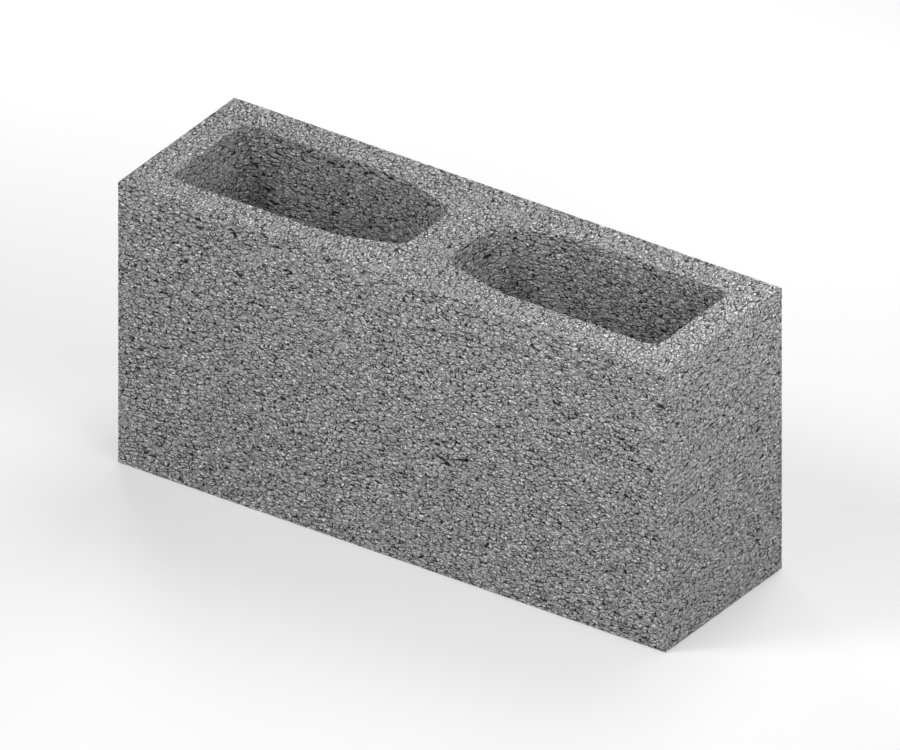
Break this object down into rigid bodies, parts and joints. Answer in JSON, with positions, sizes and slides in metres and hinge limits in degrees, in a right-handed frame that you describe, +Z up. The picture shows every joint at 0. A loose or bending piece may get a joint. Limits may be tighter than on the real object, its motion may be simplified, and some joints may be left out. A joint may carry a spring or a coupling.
{
  "type": "concrete block",
  "caption": "Hollow concrete partition block: a rectangular cast block with open cores through its height that narrow towards the web between them.",
  "frame": {"origin": "centre of the bottom face, on the floor under the web", "axes": "+X along the block's length, +Y through the wall's thickness, +Z up through the cores"},
  "size_m": [0.39, 0.12, 0.19],
  "materials": {
    "concrete": "dry cast concrete: matt, open granular surface of sand and fine gravel, neutral grey"
  },
  "bodies": {
    "root": {"block": "concrete"}
  },
  "joints": []
}
